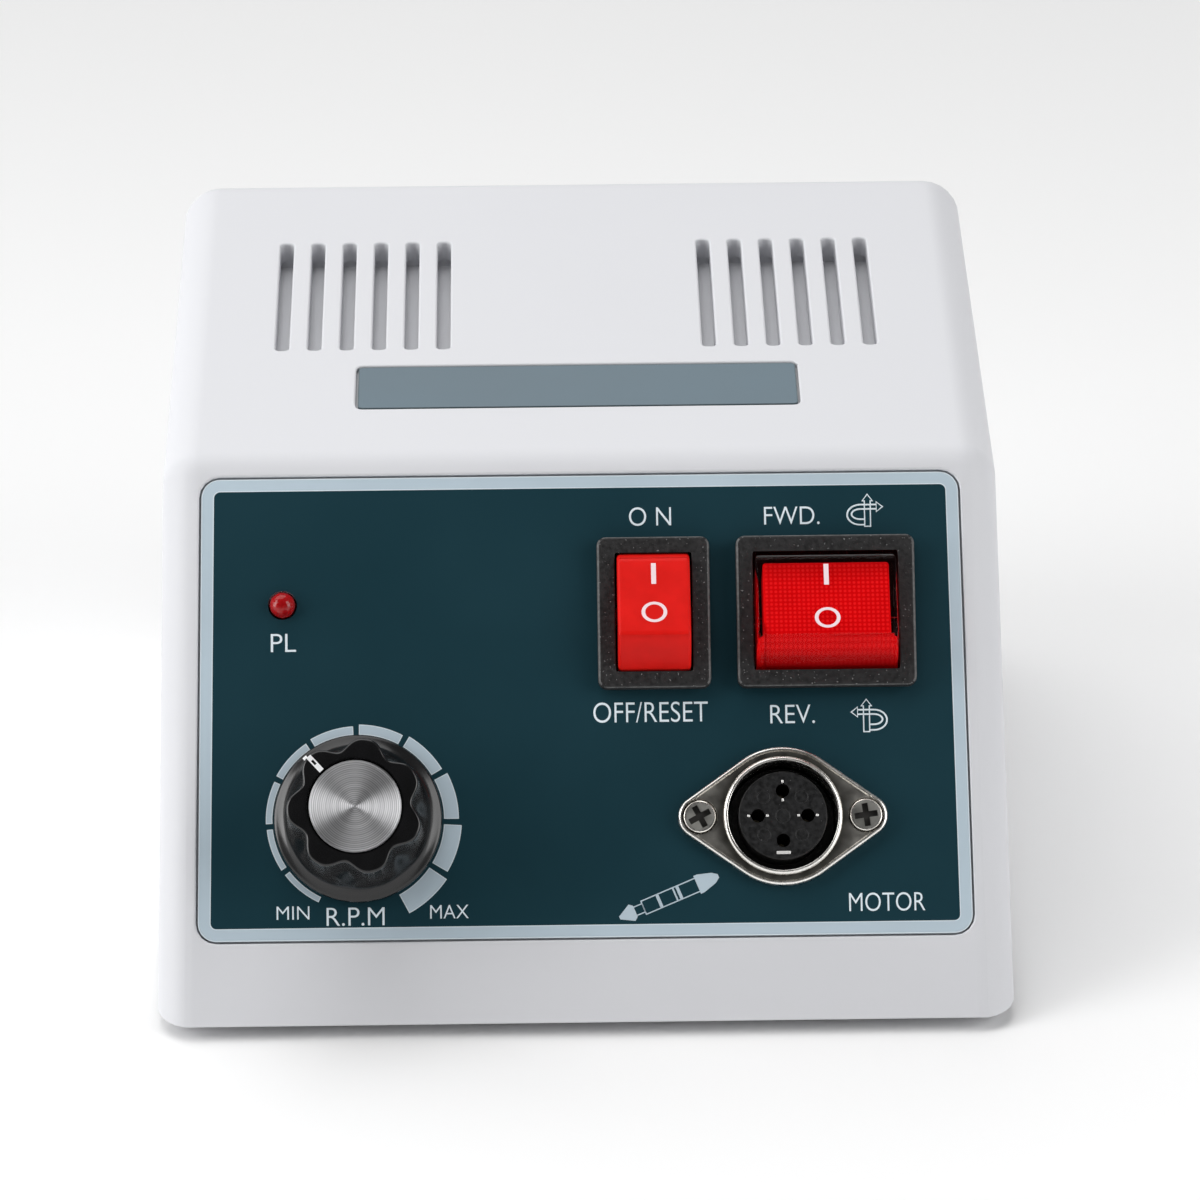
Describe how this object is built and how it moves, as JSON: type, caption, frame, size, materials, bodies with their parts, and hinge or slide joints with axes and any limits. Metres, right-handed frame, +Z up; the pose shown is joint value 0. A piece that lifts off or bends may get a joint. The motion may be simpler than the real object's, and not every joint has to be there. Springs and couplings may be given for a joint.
{
  "type": "dental lab micromotor control box",
  "caption": "Bench control box for a dental lab handpiece: sloping panel with rockers, speed knob, lamp and round socket; mains inlet, fuse and pedal jack behind.",
  "frame": {"origin": "middle of the footprint, on the surface that the rubber feet stand on", "axes": "+Z up, the sloping front panel faces -Y, the rear fittings face +Y"},
  "size_m": [0.115, 0.1322, 0.0762],
  "materials": {
    "housing_plastic": "fine matte moulded",
    "base_plastic": "matte moulded",
    "foot_rubber": "matte",
    "panel_print": "satin printed film",
    "strip_print": "satin printed film",
    "switch_plastic": "fine grained",
    "rocker_plastic": "semi-gloss",
    "rocker_lens": "clear gloss",
    "contact_brass": "tinned",
    "knob_plastic": "gloss",
    "spun_aluminium": "spun",
    "nickel": "satin nickel",
    "zinc_steel": "zinc plated",
    "fitting_plastic": "matte",
    "lamp_lens": "tinted clear",
    "core_steel": "varnished laminations",
    "winding_tape": "polyester tape",
    "board_laminate": "solder mask",
    "capacitor_sleeve": "shrink sleeve",
    "sink_aluminium": "black anodised",
    "fuse_glass": "clear"
  },
  "bodies": {
    "housing": {"base_plate": "base_plastic", "base_screw_1": "zinc_steel", "base_screw_2": "zinc_steel", "base_screw_3": "zinc_steel", "base_screw_4": "zinc_steel", "control_board": "board_laminate", "direction_switch_body": "switch_plastic", "direction_terminal_1": "contact_brass", "direction_terminal_2": "contact_brass", "direction_terminal_3": "contact_brass", "direction_terminal_4": "contact_brass", "direction_terminal_5": "contact_brass", "direction_terminal_6": "contact_brass", "filter_capacitor": "capacitor_sleeve", "foot_1": "foot_rubber", "foot_2": "foot_rubber", "foot_3": "foot_rubber", "foot_4": "foot_rubber", "foot_jack": "fitting_plastic", "foot_jack_nut": "nickel", "front_panel": "panel_print", "fuse_holder": "fitting_plastic", "heat_sink": "sink_aluminium", "housing": "housing_plastic", "inlet_pin_1": "contact_brass", "inlet_pin_2": "contact_brass", "inlet_pin_3": "contact_brass", "mains_inlet": "fitting_plastic", "name_strip": "strip_print", "pilot_lamp": "lamp_lens", "pot_body": "zinc_steel", "pot_nut": "zinc_steel", "power_switch_body": "switch_plastic", "power_terminal_1": "contact_brass", "power_terminal_2": "contact_brass", "power_transistor": "fitting_plastic", "socket_contact_1": "contact_brass", "socket_contact_2": "contact_brass", "socket_contact_3": "contact_brass", "socket_contact_4": "contact_brass", "socket_insert": "fitting_plastic", "socket_screw_1": "nickel", "socket_screw_2": "nickel", "socket_shell": "nickel", "transformer_core": "core_steel", "transformer_screw_1": "zinc_steel", "transformer_screw_2": "zinc_steel", "transformer_strap": "zinc_steel", "transformer_winding": "winding_tape"},
    "power_rocker": {"power_rocker": "rocker_plastic"},
    "power_lever": {"power_contact_lever_1": "contact_brass"},
    "direction_rocker": {"direction_rocker": "rocker_lens"},
    "direction_lever_1": {"direction_contact_lever_1": "contact_brass"},
    "direction_lever_2": {"direction_contact_lever_2": "contact_brass"},
    "speed_knob": {"speed_knob": "knob_plastic", "knob_cap": "spun_aluminium", "knob_set_screw": "zinc_steel", "pot_shaft": "zinc_steel"},
    "fuse_cap": {"fuse_cap": "fitting_plastic", "fuse": "fuse_glass"}
  },
  "joints": [
    {"name": "power_rocker_tilt", "type": "hinge", "parent": "housing", "child": "power_rocker", "pos_m": [0.0097, -0.03192, 0.04647], "axis": [1, 0, 0], "range_deg": [0, 30]},
    {"name": "power_lever_tilt", "type": "hinge", "parent": "housing", "child": "power_lever", "pos_m": [0.0097, -0.0257, 0.04228], "axis": [1, 0, 0], "range_deg": [-16, 0]},
    {"name": "direction_rocker_tilt", "type": "hinge", "parent": "housing", "child": "direction_rocker", "pos_m": [0.0329, -0.03192, 0.04647], "axis": [1, 0, 0], "range_deg": [0, 30]},
    {"name": "direction_lever_1_tilt", "type": "hinge", "parent": "housing", "child": "direction_lever_1", "pos_m": [0.0279, -0.0257, 0.04228], "axis": [1, 0, 0], "range_deg": [-16, 0]},
    {"name": "direction_lever_2_tilt", "type": "hinge", "parent": "housing", "child": "direction_lever_2", "pos_m": [0.0379, -0.0257, 0.04228], "axis": [1, 0, 0], "range_deg": [-16, 0]},
    {"name": "speed_knob_turn", "type": "hinge", "parent": "housing", "child": "speed_knob", "pos_m": [-0.0303, -0.04928, 0.02513], "axis": [0, -0.829, 0.5592], "range_deg": [-192.6, 107.4]},
    {"name": "fuse_cap_turn", "type": "hinge", "parent": "housing", "child": "fuse_cap", "pos_m": [0.00494, 0.05795, 0.026], "axis": [0, 0.9998, 0.0175], "range_deg": [0, 60]}
  ],
  "couplings": [
    {"joint": "power_lever_tilt", "follows": "power_rocker_tilt", "ratio": -0.53333},
    {"joint": "direction_lever_1_tilt", "follows": "direction_rocker_tilt", "ratio": -0.53333},
    {"joint": "direction_lever_2_tilt", "follows": "direction_rocker_tilt", "ratio": -0.53333}
  ]
}
